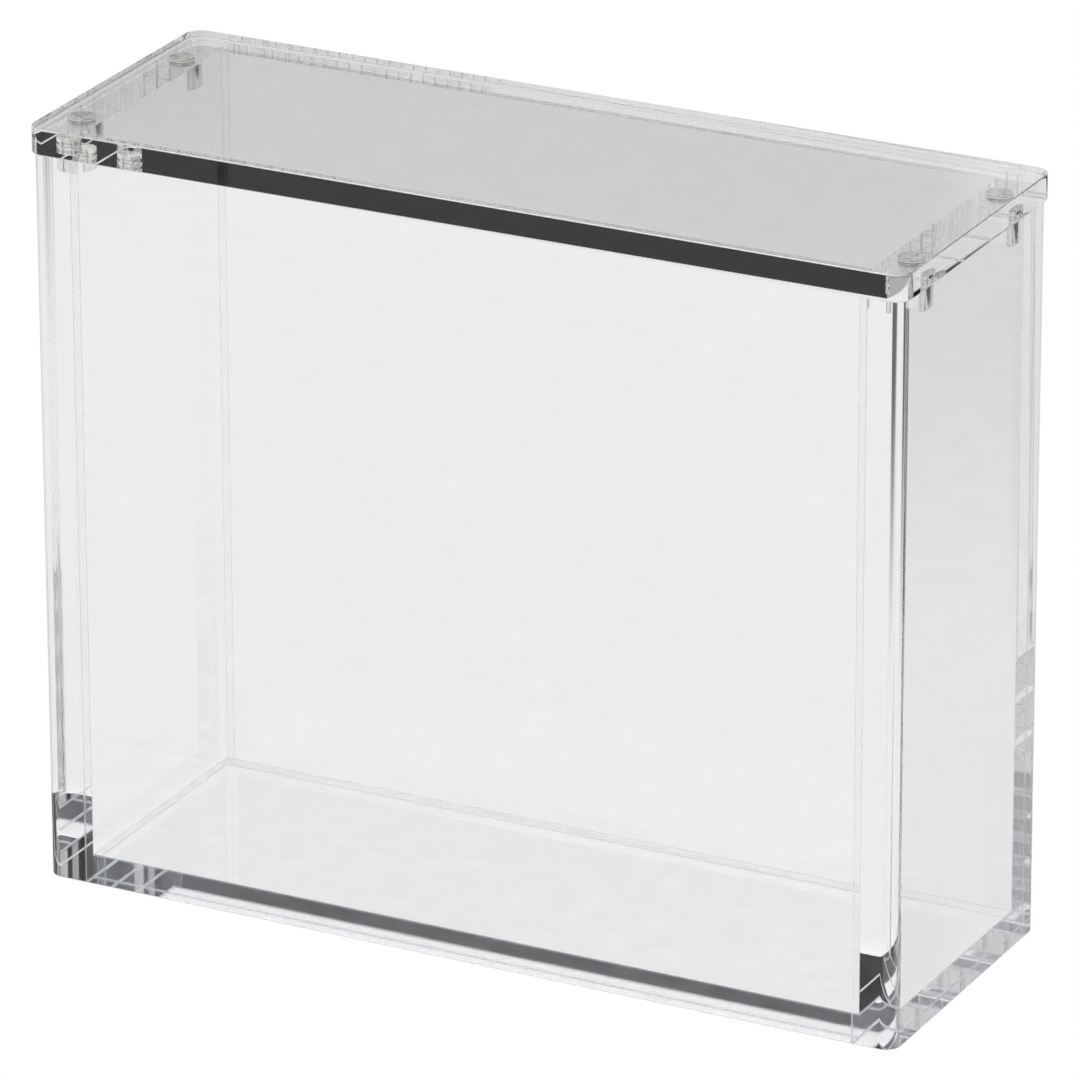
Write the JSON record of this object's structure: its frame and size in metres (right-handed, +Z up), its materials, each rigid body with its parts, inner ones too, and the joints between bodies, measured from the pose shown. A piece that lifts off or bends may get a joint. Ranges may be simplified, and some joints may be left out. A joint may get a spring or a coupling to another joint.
{
  "type": "lidded display case",
  "caption": "Clear box-shaped display case of cemented acrylic sheet with a loose flat lid that rests on the rim and is held at its corners by embedded magnets.",
  "frame": {"origin": "middle of the case's underside, where it rests on a table", "axes": "+X to the right along the long side, +Y to the back, +Z up; the front panel faces -Y"},
  "size_m": [0.2116, 0.0754, 0.178],
  "materials": {
    "clear_acrylic": "clear cast acrylic sheet, polished faces and edges",
    "nickel_plate": "bright nickel plate on a sintered magnet"
  },
  "bodies": {
    "case": {"base_plate": "clear_acrylic", "front_panel": "clear_acrylic", "back_panel": "clear_acrylic", "left_wall": "clear_acrylic", "right_wall": "clear_acrylic", "case_magnet_front_left": "nickel_plate", "case_magnet_front_right": "nickel_plate", "case_magnet_back_left": "nickel_plate", "case_magnet_back_right": "nickel_plate"},
    "lid": {"lid_plate": "clear_acrylic", "lid_magnet_front_left": "nickel_plate", "lid_magnet_front_right": "nickel_plate", "lid_magnet_back_left": "nickel_plate", "lid_magnet_back_right": "nickel_plate"}
  },
  "joints": [
    {"name": "lid_lift", "type": "slide", "parent": "case", "child": "lid", "axis": [0, 0, 1], "range_m": [0, 0.12]}
  ]
}
